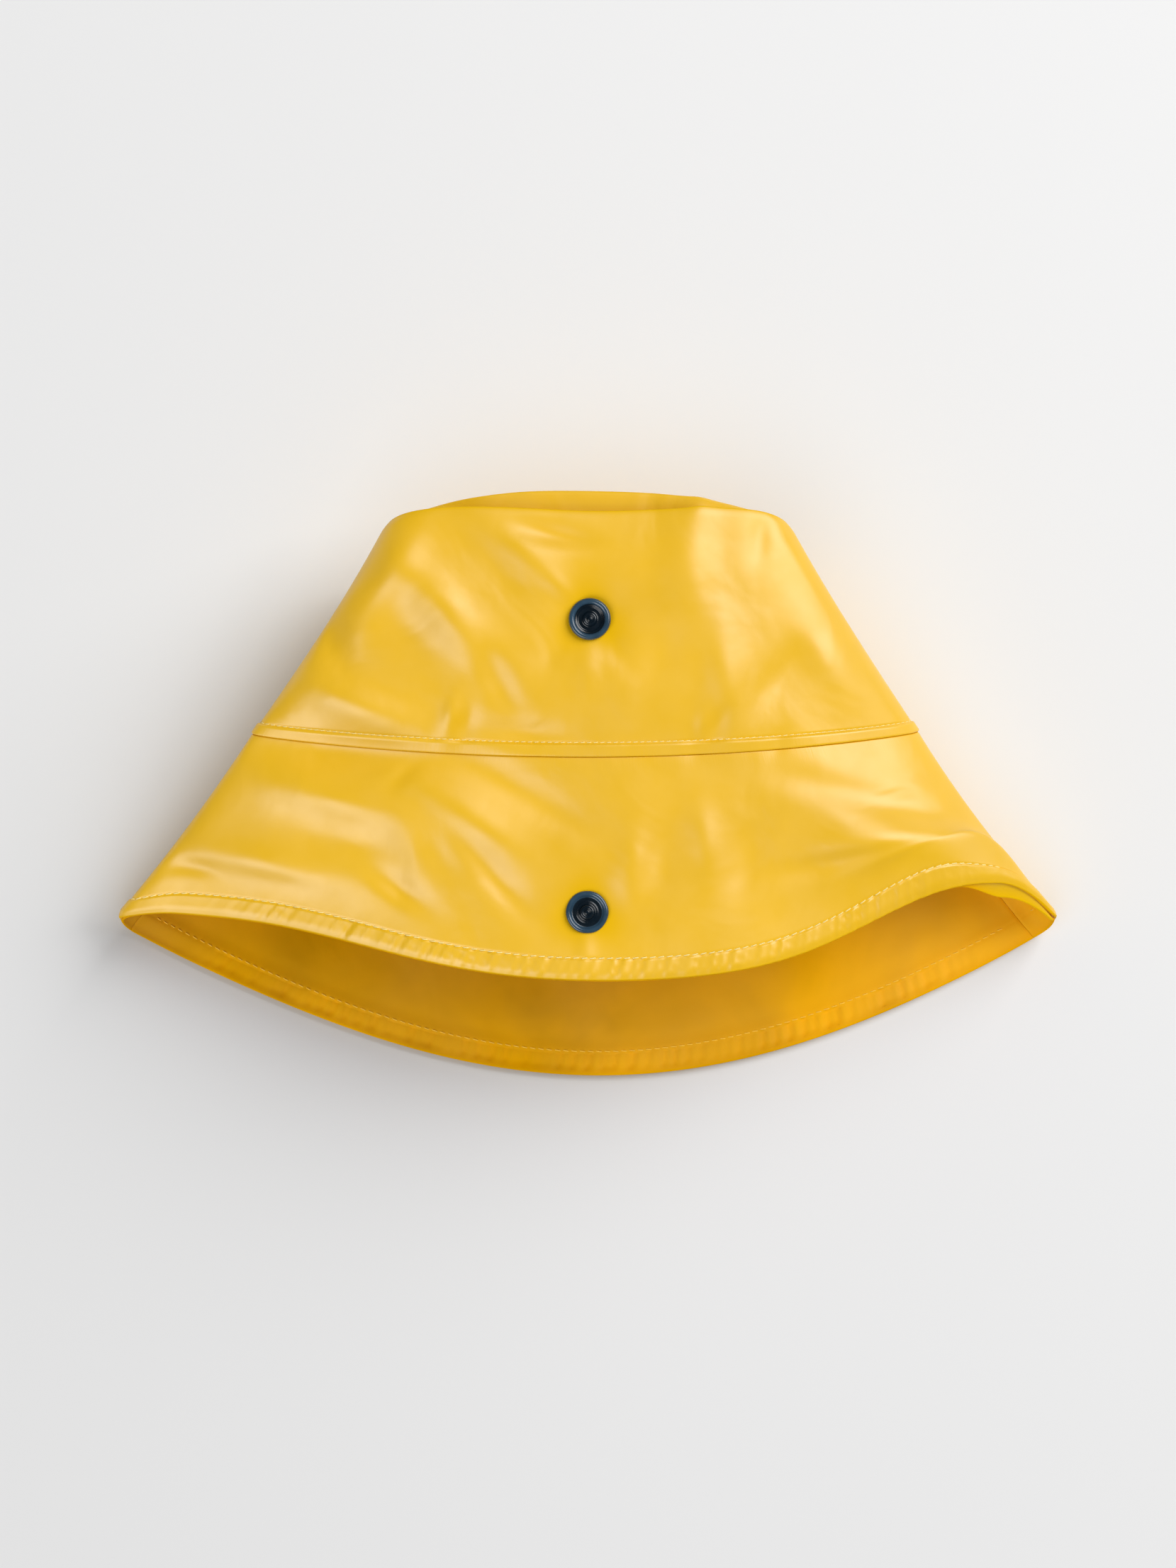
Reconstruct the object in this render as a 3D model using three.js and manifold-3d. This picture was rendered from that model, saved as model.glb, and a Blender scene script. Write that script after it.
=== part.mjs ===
// A child's rain hat of coated cloth: a bucket hat with a round tip, a tapered crown and a flared brim.
// It lies on its back, as it does when it is put down flat, so the front of the hat faces up.
// Units are millimetres. +X is to the right, +Y is towards the tip, +Z is up, and Z = 0 is the table.
// The origin is on the table, under the middle of the hat's outline.
import * as THREE from 'three';
import { mergeVertices } from 'three/addons/utils/BufferGeometryUtils.js';
import Module from 'manifold-3d';

const wasm = await Module();
wasm.setup();

// Cloth
const CLOTH = 1.2;             // thickness of one layer
const GAP = 0.35;              // air between two pieces that are sewn together
const TIP_GAP = 0.5;           // air between the tip panel and the inside of the crown's end
const CROWN_DEPTH = 89;        // tip seam to brim seam, along the cloth
const BRIM_DEPTH = 82;         // brim seam to hem edge, along the cloth
const HEM_WIDTH = 9.5;         // the edge is folded in by this much
const HEM_FOLD = 1.1;          // and the fold makes it this much thicker on the inside
const SEAM_BAND = 5;           // topstitched band above the brim seam
const BAND_RISE = 0.6;         // how far its hidden seam allowance pushes the band out
const EDGE_SLOPE = 0.02;       // the band and the hem rise over this share of a panel's depth

// Side seams, as turns in degrees about the hat's long axis: 0 is the right fold, 90 the middle of the front
// and 180 the left fold. Both lie a little way round on the back.
const RIGHT_SEAM = -18;
const LEFT_SEAM = 190;
const HALF_GAP = 0.25;         // half the gap at each

// Five lines round the hat, from the tip seam to the hem edge. Each is a closed loop.
// left and right X, Y, Z: where its two side folds lie.
// frontY, crestZ: the middle of its front.  backX, backY: the middle of its back, which lies on the table.
// boxX squares the loop off sideways, where 0 is an ellipse.
// plan, planBack: how the front and the back line bend, seen from above.
// arch: how the front bends, seen from the mouth. Above 0 is square, below 0 is pointed at the folds.
// rest: how far round from the fold the back comes down to the table, as the sine of that turn.
const LINES = {
  tip: {
    leftX: -72, leftY: 88, leftZ: 40, rightX: 72, rightY: 88, rightZ: 36, frontY: 98.2, crestZ: 56,
    backX: 0, backY: 65, boxX: 0.3, plan: 0.25, planBack: 0.3, arch: 0.4, rest: 0.95,
  },
  crownMiddle: {
    leftX: -94, leftY: 53, leftZ: 41, rightX: 94.3, rightY: 53, rightZ: 33, frontY: 53.5, crestZ: 57.5,
    backX: 0, backY: 20.5, boxX: 0.25, plan: -0.2, planBack: -0.3, arch: 0.1, rest: 0.75,
  },
  seam: {
    leftX: -118.4, leftY: 18, leftZ: 35, rightX: 117.2, rightY: 19, rightZ: 25, frontY: 9.6, crestZ: 53,
    backX: 0, backY: -23, boxX: 0.1, plan: -0.6, planBack: -0.6, arch: -0.2, rest: 0.6,
  },
  brimMiddle: {
    leftX: -142.2, leftY: -15.3, leftZ: 28, rightX: 141.3, rightY: -15.3, rightZ: 19, frontY: -30, crestZ: 51.5,
    backX: 1, backY: -64, boxX: 0.05, plan: -0.5, planBack: -0.6, arch: -0.3, rest: 0.5,
  },
  hem: {
    leftX: -168.4, leftY: -46.9, leftZ: 16, rightX: 168.6, rightY: -46.8, rightZ: 12, frontY: -69, crestZ: 51,
    backX: 4, backY: -104.7, boxX: 0, plan: -0.6, planBack: -0.6, arch: -0.4, rest: 0.45,
  },
};
const FALL = 3;                // how sharply the back bends where it meets the table

// Folds and dents of the front, each a soft ridge: its middle, the turn of its length from +X, half its
// length and width, how far it rises (below 0 it is a dent) and how far it pulls the cloth towards the tip.
const FOLDS = [
  { name: 'hem lift, right', x: 134, y: -46, turn: 14, long: 49, wide: 22, rise: 3, pull: 23 },
  { name: 'hem lift, left', x: -112, y: -54, turn: -10, long: 60, wide: 20, rise: -3, pull: 10 },
  { name: 'tip edge sag', x: 4, y: 98, turn: 0, long: 36, wide: 14, rise: -1, pull: -2.8 },
  { name: 'brim shoulder, right', x: 106, y: -24, turn: -40, long: 42, wide: 22, rise: 9, pull: 0 },
  { name: 'crown snap dimple', x: 0, y: 58, turn: 0, long: 16, wide: 14, rise: -3, pull: 0 },
  { name: 'brim snap dimple', x: 0, y: -45, turn: 0, long: 18, wide: 14, rise: -2.5, pull: 0 },
  { name: 'crown ridge, left', x: -48, y: 58, turn: -48, long: 26, wide: 8, rise: 3.2, pull: 0 },
  { name: 'crown hollow, left', x: -66, y: 56, turn: -44, long: 20, wide: 10, rise: -1.8, pull: 0 },
  { name: 'crown ridge, upper left', x: -70, y: 72, turn: 60, long: 20, wide: 7, rise: 2.6, pull: 0 },
  { name: 'crown hollow, far left', x: -90, y: 52, turn: -66, long: 12, wide: 6, rise: -2.2, pull: 0 },
  { name: 'crown ridge, low left', x: -80, y: 27, turn: -22, long: 24, wide: 7, rise: 3.4, pull: 0 },
  { name: 'crown valley, upper left', x: -33, y: 76, turn: -40, long: 20, wide: 8, rise: -1.4, pull: 0 },
  { name: 'crown ridge to the snap', x: -22, y: 80, turn: -46, long: 18, wide: 7, rise: 1.2, pull: 0 },
  { name: 'crown valley at the tip', x: -12, y: 88, turn: -12, long: 14, wide: 4.5, rise: -1.8, pull: 0 },
  { name: 'crown crease, low left', x: -32, y: 38, turn: -62, long: 14, wide: 5, rise: -1.8, pull: 0 },
  { name: 'crown hollow over the band', x: -24, y: 18, turn: -3, long: 18, wide: 4.5, rise: -1.5, pull: 0 },
  { name: 'crown ridge, upper right', x: 35, y: 78, turn: 88, long: 28, wide: 9, rise: 2.2, pull: 0 },
  { name: 'crown hollow, middle right', x: 26, y: 44, turn: 64, long: 16, wide: 7, rise: -1.3, pull: 0 },
  { name: 'crown ridge, low right', x: 48, y: 38, turn: 98, long: 20, wide: 7, rise: 2.2, pull: 0 },
  { name: 'crown hollow, low right', x: 69, y: 38, turn: 52, long: 15, wide: 7, rise: -1.6, pull: 0 },
  { name: 'crown ridge, far right', x: 84, y: 44, turn: -56, long: 18, wide: 7, rise: 1.6, pull: 0 },
  { name: 'brim valley under the seam', x: -86, y: 8, turn: -4, long: 32, wide: 7, rise: -2.6, pull: 0 },
  { name: 'brim valley to the middle', x: -24, y: -2, turn: -30, long: 28, wide: 7, rise: -2.2, pull: 0 },
  { name: 'brim ridge, left', x: -37, y: -12, turn: -32, long: 28, wide: 6.5, rise: 2.4, pull: 0 },
  { name: 'brim ridge, far left', x: -86, y: -7, turn: -14, long: 26, wide: 6, rise: 2.6, pull: 0 },
  { name: 'brim ridge, turning down', x: -61, y: -23, turn: -62, long: 14, wide: 6.5, rise: 1.8, pull: 0 },
  { name: 'brim hollow, far left', x: -86, y: -20, turn: -12, long: 26, wide: 8, rise: -1.6, pull: 0 },
  { name: 'brim wedge ridge', x: -45, y: -24, turn: -46, long: 15, wide: 5, rise: 1.5, pull: 0 },
  { name: 'brim wedge valley', x: -33, y: -33, turn: -46, long: 17, wide: 5.5, rise: -2.2, pull: 0 },
  { name: 'brim hollow at the hem, left', x: -66, y: -38, turn: -38, long: 13, wide: 5, rise: -1.8, pull: 0 },
  { name: 'brim swell, low left', x: -126, y: -26, turn: -20, long: 20, wide: 7, rise: 2, pull: 0 },
  { name: 'brim hollow, low left', x: -134, y: -34, turn: -16, long: 14, wide: 5, rise: -1.8, pull: 0 },
  { name: 'brim ridge, middle', x: 15, y: -28, turn: 84, long: 14, wide: 5.5, rise: 0.9, pull: 0 },
  { name: 'brim valley, middle', x: 27, y: -24, turn: 78, long: 15, wide: 6, rise: -0.8, pull: 0 },
  { name: 'brim ridge, mid right', x: 41, y: -20, turn: 98, long: 11, wide: 5, rise: 0.9, pull: 0 },
  { name: 'brim valley, mid right', x: 56, y: -26, turn: 78, long: 13, wide: 6, rise: -0.7, pull: 0 },
  { name: 'brim crest over the hem, right', x: 108, y: -24, turn: 4, long: 32, wide: 9, rise: 2, pull: 0 },
  { name: 'brim valley by the hem, right', x: 90, y: -29, turn: 6, long: 24, wide: 5.5, rise: -1.8, pull: 0 },
  { name: 'brim valley, right', x: 100, y: -6, turn: -16, long: 32, wide: 6, rise: -2.2, pull: 0 },
  { name: 'hem roll, right', x: 144, y: -43, turn: 6, long: 18, wide: 6.5, rise: -0.5, pull: -6 },
];

// The tip panel starts at the front of the tip seam, tucks in under the crown, rolls up and stands out past
// it, and then hangs down to the back of the seam.
const TIP_TUCK = 9;            // how deep it tucks in behind the front of the seam
const TIP_BULGE = 10;          // how far it then stands out
const TIP_ROLL = 1.5;          // how far the part that stands out rolls up again
const TIP_END = 5;             // its ends stop this turn short of the side folds, in degrees
const TIP_HANG = { drop: 0.03, over: 0.03, power: 2.6 };   // a first drop, then a fall that grows as a power
const TUCK = { from: 0.05, to: 0.27, left: -64, leftFull: -40, rightFull: 26, right: 43 };
const BULGE = { from: 0.18, full: 0.4, lastFull: 0.55, width: 67 };
const ROLL = { from: 0.25, to: 0.55 };
const TIP_SHARES = [0, 0.03, 0.06, 0.1, 0.14, 0.18, 0.22, 0.26, 0.3, 0.35, 0.42, 0.52, 0.66, 0.82, 1];

// Snaps: radius, rim, cup and floor shape a disc and its hollow, and a boss stands in it round the post.
// Heights are above the disc's underside.
const SOCKET = { radius: 7.4, rim: 2.6, cup: 5.2, floor: 0.9, bossRadius: 2.6, boss: 1.8 };
const STUD = { radius: 7.5, rim: 1.7, cup: 5.6, floor: 0.8, bossRadius: 2.8, boss: 2.4 };
const CAP = { radius: 6.6, thick: 1.5 };
const POST_RADIUS = 1.9;
const HOLE_RADIUS = POST_RADIUS + 0.3;
const SNAP_SIDES = 24;
const DISC_STAND = 0.85;       // a flat disc stands this far off the middle of the curved cloth
const CROWN_SNAP = { x: 0.6, u: 0.455 };
const BRIM_SNAP = { x: -0.3, u: 0.69 };

// Mesh steps
const FRONT_STEPS = 52;
const BACK_STEPS = 24;
const CROWN_ROWS = 14;
const BRIM_ROWS = 12;
const BACK_ROWS = 6;
const TIP_ROWS = 26;

const YELLOW = 0xe8b22a;
const NAVY = 0x1d2733;

const clamp01 = (t) => Math.min(1, Math.max(0, t));
const smooth = (t) => clamp01(t) ** 2 * (3 - 2 * clamp01(t));
const bend = (t, k) => t * (1 + k * (1 - t * t));
const hump = (t, from, to) => (t <= from || t >= to ? 0 : Math.sin(Math.PI * (t - from) / (to - from)) ** 2);
const steps = (from, to, count) => Array.from({ length: count + 1 },
  (_, i) => from + (to - from) * i / count);
const radians = THREE.MathUtils.degToRad;

// A point of one of the five lines, at a turn about the hat's long axis.
function linePoint(line, turn) {
  const c = Math.cos(turn);
  const s = Math.sin(turn);
  const across = (1 + bend(c, line.boxX)) / 2;
  const x = THREE.MathUtils.lerp(line.leftX, line.rightX, across);
  const sideY = THREE.MathUtils.lerp(line.leftY, line.rightY, across);
  const sideZ = THREE.MathUtils.lerp(line.leftZ, line.rightZ, across);
  if (s >= 0) {
    return new THREE.Vector3(x,
      sideY + (line.frontY - sideY) * bend(s, line.plan),
      sideZ + (line.crestZ - sideZ) * bend(s, line.arch));
  }
  return new THREE.Vector3(x + line.backX * s * s,
    sideY + (line.backY - sideY) * bend(-s, line.planBack),
    sideZ * Math.max(0, 1 + s / line.rest) ** FALL);
}

// The outer face of the cloth at a turn, a share u of the way from one line through the next to the third.
function blendLines([first, middle, last], turn, u) {
  return linePoint(first, turn).multiplyScalar((1 - u) * (1 - 2 * u))
    .addScaledVector(linePoint(middle, turn), 4 * u * (1 - u))
    .addScaledVector(linePoint(last, turn), u * (2 * u - 1));
}

const CROWN = [LINES.tip, LINES.crownMiddle, LINES.seam];
const BRIM = [LINES.seam, LINES.brimMiddle, LINES.hem];

function outerPoint(lines, turn, u) {
  const p = blendLines(lines, turn, u);
  const front = smooth(2 * Math.sin(turn));
  const { x, y } = p;
  for (const fold of FOLDS) {
    const angle = radians(fold.turn);
    const along = ((x - fold.x) * Math.cos(angle) + (y - fold.y) * Math.sin(angle)) / fold.long;
    const aside = ((y - fold.y) * Math.cos(angle) - (x - fold.x) * Math.sin(angle)) / fold.wide;
    const share = front * Math.exp(-along * along - aside * aside);
    p.y += fold.pull * share;
    p.z += fold.rise * share;
  }
  p.z = Math.max(0, p.z);
  return p;
}

function outwardNormal(lines, turn, u) {
  const step = 1e-3;
  const round = outerPoint(lines, turn + step, u).sub(outerPoint(lines, turn - step, u));
  const down = outerPoint(lines, turn, u + step).sub(outerPoint(lines, turn, u - step));
  return round.cross(down).normalize();
}

// A point below the outer face of the cloth by a depth, or above it where the depth is negative.
function layerPoint(lines, turn, u, depth) {
  return outerPoint(lines, turn, u).addScaledVector(outwardNormal(lines, turn, u), -depth);
}

// A closed wall between two grids of points, with its four edges closed.
function wall(outer, inner) {
  const rows = outer.length;
  const columns = outer[0].length;
  const positions = [...outer.flat(), ...inner.flat()].flatMap((p) => [p.x, p.y, p.z]);
  const at = (layer, row, column) => layer * rows * columns + row * columns + column;
  const index = [];
  const quad = (a, b, c, d) => index.push(a, b, c, a, c, d);
  const lastRow = rows - 1;
  const lastColumn = columns - 1;
  for (let r = 0; r < lastRow; r++) {
    for (let c = 0; c < lastColumn; c++) {
      quad(at(0, r, c), at(0, r, c + 1), at(0, r + 1, c + 1), at(0, r + 1, c));
      quad(at(1, r, c), at(1, r + 1, c), at(1, r + 1, c + 1), at(1, r, c + 1));
    }
    quad(at(0, r, 0), at(0, r + 1, 0), at(1, r + 1, 0), at(1, r, 0));
    quad(at(0, r + 1, lastColumn), at(0, r, lastColumn), at(1, r, lastColumn), at(1, r + 1, lastColumn));
  }
  for (let c = 0; c < lastColumn; c++) {
    quad(at(0, 0, c), at(1, 0, c), at(1, 0, c + 1), at(0, 0, c + 1));
    quad(at(0, lastRow, c), at(0, lastRow, c + 1), at(1, lastRow, c + 1), at(1, lastRow, c));
  }
  const geometry = new THREE.BufferGeometry();
  geometry.setAttribute('position', new THREE.Float32BufferAttribute(positions, 3));
  geometry.setIndex(index);
  return geometry;
}

// One panel of cloth: rows run down the hat and columns round it. raised(turn, u) lifts its outer face, and
// folded(turn, u) thickens it on the inside.
function panel(lines, turns, shares, { raised = () => 0, folded = () => 0 }) {
  const grid = (depth) => shares.map((u) => turns.map((turn) => layerPoint(lines, turn, u, depth(turn, u))));
  return wall(grid((turn, u) => -raised(turn, u)), grid((turn, u) => CLOTH + folded(turn, u)));
}

const frontTurns = steps(RIGHT_SEAM + HALF_GAP, LEFT_SEAM - HALF_GAP, FRONT_STEPS).map(radians);
const backTurns = steps(LEFT_SEAM + HALF_GAP, RIGHT_SEAM + 360 - HALF_GAP, BACK_STEPS).map(radians);

const crownEnd = 1 - GAP / 2 / CROWN_DEPTH;
const bandStart = 1 - SEAM_BAND / CROWN_DEPTH;
const brimStart = GAP / 2 / BRIM_DEPTH;
const hemStart = 1 - HEM_WIDTH / BRIM_DEPTH;

// The band stands out on the front and the sides, but not where it is pressed against the table.
function bandRise(turn, u) {
  const offTable = smooth((Math.sin(turn) + 0.1) / 0.3);
  return BAND_RISE * offTable * smooth((u - bandStart + EDGE_SLOPE) / EDGE_SLOPE);
}

function hemFold(turn, u) {
  return HEM_FOLD * smooth((u - hemStart) / EDGE_SLOPE);
}

function crownPanel(turns, rows) {
  const shares = [...steps(0, bandStart - EDGE_SLOPE, rows - 1), bandStart, crownEnd];
  return panel(CROWN, turns, shares, { raised: bandRise });
}

function brimPanel(turns, rows) {
  const shares = [...steps(brimStart, hemStart, rows - 2), hemStart + EDGE_SLOPE, 1];
  return panel(BRIM, turns, shares, { folded: hemFold });
}

// The tip panel, as rows from the right end of the tip seam to its left end.
function tipPoint(turn, v) {
  const seamPoint = (t) => layerPoint(CROWN, t, 0, CLOTH + TIP_GAP + CLOTH * Math.cos(t) ** 8);
  const front = seamPoint(turn);
  const back = seamPoint(-turn);
  const hang = v ** TIP_HANG.power;
  const p = front.clone().lerp(back, hang);
  const x = p.x;
  const tuckWide = smooth((x - TUCK.left) / (TUCK.leftFull - TUCK.left))
    * (1 - smooth((x - TUCK.rightFull) / (TUCK.right - TUCK.rightFull)));
  const bulgeWide = Math.max(0, 1 - (x / BULGE.width) ** 2) * Math.sin(turn) ** 0.5;
  const out = smooth((v - BULGE.from) / (BULGE.full - BULGE.from))
    * (1 - smooth((v - BULGE.lastFull) / (1 - BULGE.lastFull)));
  p.y += TIP_BULGE * bulgeWide * out - TIP_TUCK * tuckWide * hump(v, TUCK.from, TUCK.to);
  p.z += (back.z - front.z) * TIP_HANG.drop * (1 - Math.exp(-v / TIP_HANG.over) - hang);
  p.z += TIP_ROLL * tuckWide * hump(v, ROLL.from, ROLL.to);
  return p;
}

function tipNormal(turn, v) {
  const step = 1e-3;
  const round = tipPoint(turn + step, v).sub(tipPoint(turn - step, v));
  const across = tipPoint(turn, Math.min(1, v + step)).sub(tipPoint(turn, Math.max(0, v - step)));
  return across.cross(round).normalize();
}

function tipPanel() {
  const turns = steps(radians(TIP_END), Math.PI - radians(TIP_END), TIP_ROWS);
  const grid = (depth) => turns.map((turn) => TIP_SHARES.map((v) =>
    tipPoint(turn, v).addScaledVector(tipNormal(turn, v), -depth)));
  return wall(grid(0), grid(CLOTH));
}

function solidOf(geometry) {
  const bare = geometry.clone();
  bare.deleteAttribute('normal');
  bare.deleteAttribute('uv');
  const merged = mergeVertices(bare, 1e-3);
  return new wasm.Manifold(new wasm.Mesh({
    numProp: 3,
    vertProperties: new Float32Array(merged.attributes.position.array),
    triVerts: new Uint32Array(merged.index.array),
  }));
}

function geometryOf(solid) {
  const mesh = solid.getMesh();
  const geometry = new THREE.BufferGeometry();
  geometry.setAttribute('position', new THREE.BufferAttribute(new Float32Array(mesh.vertProperties), 3));
  geometry.setIndex(new THREE.BufferAttribute(new Uint32Array(mesh.triVerts), 1));
  return geometry;
}

// Where a snap sits: on the outer face of the cloth, with +Z of its own frame pointing out of the cloth.
function snapPlace(lines, { x, u }) {
  let turn = Math.PI / 2;
  for (let i = 0; i < 8; i++) {
    const error = outerPoint(lines, turn, u).x - x;
    const slope = (outerPoint(lines, turn + 1e-3, u).x - outerPoint(lines, turn - 1e-3, u).x) / 2e-3;
    turn -= error / slope;
  }
  const out = outwardNormal(lines, turn, u);
  const place = new THREE.Group();
  place.position.copy(outerPoint(lines, turn, u));
  place.quaternion.setFromUnitVectors(new THREE.Vector3(0, 0, 1), out);
  place.updateMatrixWorld(true);
  return place;
}

// A turned piece from a profile of [radius, height] pairs, which ends on the axis or closes on itself.
function turned(profile) {
  const points = profile.map(([radius, height]) => new THREE.Vector2(radius, height));
  const geometry = new THREE.LatheGeometry(points, SNAP_SIDES);
  geometry.rotateX(Math.PI / 2);
  return geometry;
}

// The disc of a snap: a rounded rim round a hollow, with a boss in the middle that the post comes up through.
function discGeometry({ radius, rim, cup, floor, bossRadius, boss }) {
  const geometry = turned([
    [HOLE_RADIUS, 0],
    [0.82 * radius, 0],
    [radius, 0.45 * rim],
    [0.95 * radius, 0.85 * rim],
    [0.87 * radius, rim],
    [cup + 0.4, 0.85 * rim],
    [cup, floor],
    [bossRadius + 0.2, floor],
    [bossRadius, boss],
    [HOLE_RADIUS, boss],
    [HOLE_RADIUS, 0],
  ]);
  geometry.translate(0, 0, DISC_STAND);
  return geometry;
}

// The cap inside the hat, with the post that comes up through the cloth to the top of the boss.
function capGeometry({ boss }) {
  const under = -CLOTH - DISC_STAND;
  const top = DISC_STAND + boss - 0.1;
  return turned([
    [0, under - CAP.thick],
    [0.88 * CAP.radius, under - 0.9 * CAP.thick],
    [CAP.radius, under - 0.5 * CAP.thick],
    [0.97 * CAP.radius, under],
    [POST_RADIUS, under],
    [POST_RADIUS, top - 0.4],
    [0.7 * POST_RADIUS, top],
    [0, top],
  ]);
}

// Cuts the post's hole through a panel of cloth.
function pierced(geometry, place) {
  const reach = 6;
  const drill = turned([[0, -reach], [HOLE_RADIUS, -reach], [HOLE_RADIUS, reach], [0, reach]]);
  drill.applyMatrix4(place.matrixWorld);
  return geometryOf(solidOf(geometry).subtract(solidOf(drill)));
}

const cloth = () => new THREE.MeshStandardMaterial({ color: YELLOW, roughness: 0.45, metalness: 0 });
const plastic = () => new THREE.MeshStandardMaterial({ color: NAVY, roughness: 0.3, metalness: 0 });

function add(parent, name, geometry, material) {
  const mesh = new THREE.Mesh(geometry, material);
  mesh.name = name;
  parent.add(mesh);
}

const hat = new THREE.Group();
const crownSnap = snapPlace(CROWN, CROWN_SNAP);
const brimSnap = snapPlace(BRIM, BRIM_SNAP);
hat.add(crownSnap, brimSnap);

add(hat, 'crown_tip', tipPanel(), cloth());
add(hat, 'crown_front', pierced(crownPanel(frontTurns, CROWN_ROWS), crownSnap), cloth());
add(hat, 'crown_back', crownPanel(backTurns, BACK_ROWS), cloth());
add(hat, 'brim_front', pierced(brimPanel(frontTurns, BRIM_ROWS), brimSnap), cloth());
add(hat, 'brim_back', brimPanel(backTurns, BACK_ROWS), cloth());

add(crownSnap, 'crown_snap_socket', discGeometry(SOCKET), plastic());
add(crownSnap, 'crown_snap_cap', capGeometry(SOCKET), plastic());
add(brimSnap, 'brim_snap_stud', discGeometry(STUD), plastic());
add(brimSnap, 'brim_snap_cap', capGeometry(STUD), plastic());

export default hat;
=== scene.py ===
import math
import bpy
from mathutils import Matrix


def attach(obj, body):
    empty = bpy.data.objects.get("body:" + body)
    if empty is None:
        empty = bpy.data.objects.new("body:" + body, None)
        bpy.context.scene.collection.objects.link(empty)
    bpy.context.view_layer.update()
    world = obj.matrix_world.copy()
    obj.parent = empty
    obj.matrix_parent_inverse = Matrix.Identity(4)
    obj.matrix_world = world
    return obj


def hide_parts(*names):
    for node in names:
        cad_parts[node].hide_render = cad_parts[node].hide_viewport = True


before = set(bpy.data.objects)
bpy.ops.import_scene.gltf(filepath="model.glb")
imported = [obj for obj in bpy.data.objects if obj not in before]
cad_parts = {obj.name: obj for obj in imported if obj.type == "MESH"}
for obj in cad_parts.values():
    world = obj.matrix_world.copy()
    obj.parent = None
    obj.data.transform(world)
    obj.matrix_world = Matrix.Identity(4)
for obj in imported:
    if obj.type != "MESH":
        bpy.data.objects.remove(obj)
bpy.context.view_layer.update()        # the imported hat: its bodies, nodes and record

from types import SimpleNamespace as Sizes

import bpy
import numpy as np
from mathutils import Vector

# A child's rain hat lying on its back, seen from straight above. The cloth, stitches and snaps are worked out
# from the same five lines as the solids, with finer folds. Metres, +X right, +Y to the tip, +Z up.

bl_info = {
    "name": "Rain hat",
    "version": (1, 0, 0),
    "blender": (4, 5, 0),
    "location": "View3D > Sidebar > Rain hat",
    "description": "Cloth panels, stitches and snaps of a rain hat that lies on its back",
    "category": "Add Mesh",
}

MM = 0.001

# Five lines round the hat, in millimetres, as in the solids: where the side folds, the middle of the front
# and the middle of the back lie, how square each loop is, and how far round the back comes down to the table
LINES = {
    "tip": Sizes(
        left=(-72, 88, 40), right=(72, 88, 36), front_y=98.2, crest_z=56, back_x=0, back_y=65,
        box_x=0.3, plan=0.25, plan_back=0.3, arch=0.4, rest=0.95),
    "crown_middle": Sizes(
        left=(-94, 53, 41), right=(94.3, 53, 33), front_y=53.5, crest_z=57.5, back_x=0, back_y=20.5,
        box_x=0.25, plan=-0.2, plan_back=-0.3, arch=0.1, rest=0.75),
    "seam": Sizes(
        left=(-118.4, 18, 35), right=(117.2, 19, 25), front_y=9.6, crest_z=53, back_x=0, back_y=-23,
        box_x=0.1, plan=-0.6, plan_back=-0.6, arch=-0.2, rest=0.6),
    "brim_middle": Sizes(
        left=(-142.2, -15.3, 28), right=(141.3, -15.3, 19), front_y=-30, crest_z=51.5, back_x=1, back_y=-64,
        box_x=0.05, plan=-0.5, plan_back=-0.6, arch=-0.3, rest=0.5),
    "hem": Sizes(
        left=(-168.4, -46.9, 16), right=(168.6, -46.8, 12), front_y=-69, crest_z=51, back_x=4, back_y=-104.7,
        box_x=0, plan=-0.6, plan_back=-0.6, arch=-0.4, rest=0.45),
}
CROWN = ("tip", "crown_middle", "seam")
BRIM = ("seam", "brim_middle", "hem")
FALL = 3  # how sharply the back bends where it meets the table
OFF_TABLE = Sizes(start=-0.45, over=0.3)  # where a panel leaves the table, by the turn's sine
STEP = 1e-3  # of a turn or a share, for the slope of a surface

# Side seams, as turns about the hat's long axis: 0 is the right fold, 90 the middle of the front
RIGHT_SEAM = -18
LEFT_SEAM = 190
FRONT = (RIGHT_SEAM, LEFT_SEAM)
BACK = (LEFT_SEAM, RIGHT_SEAM + 360)

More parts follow.
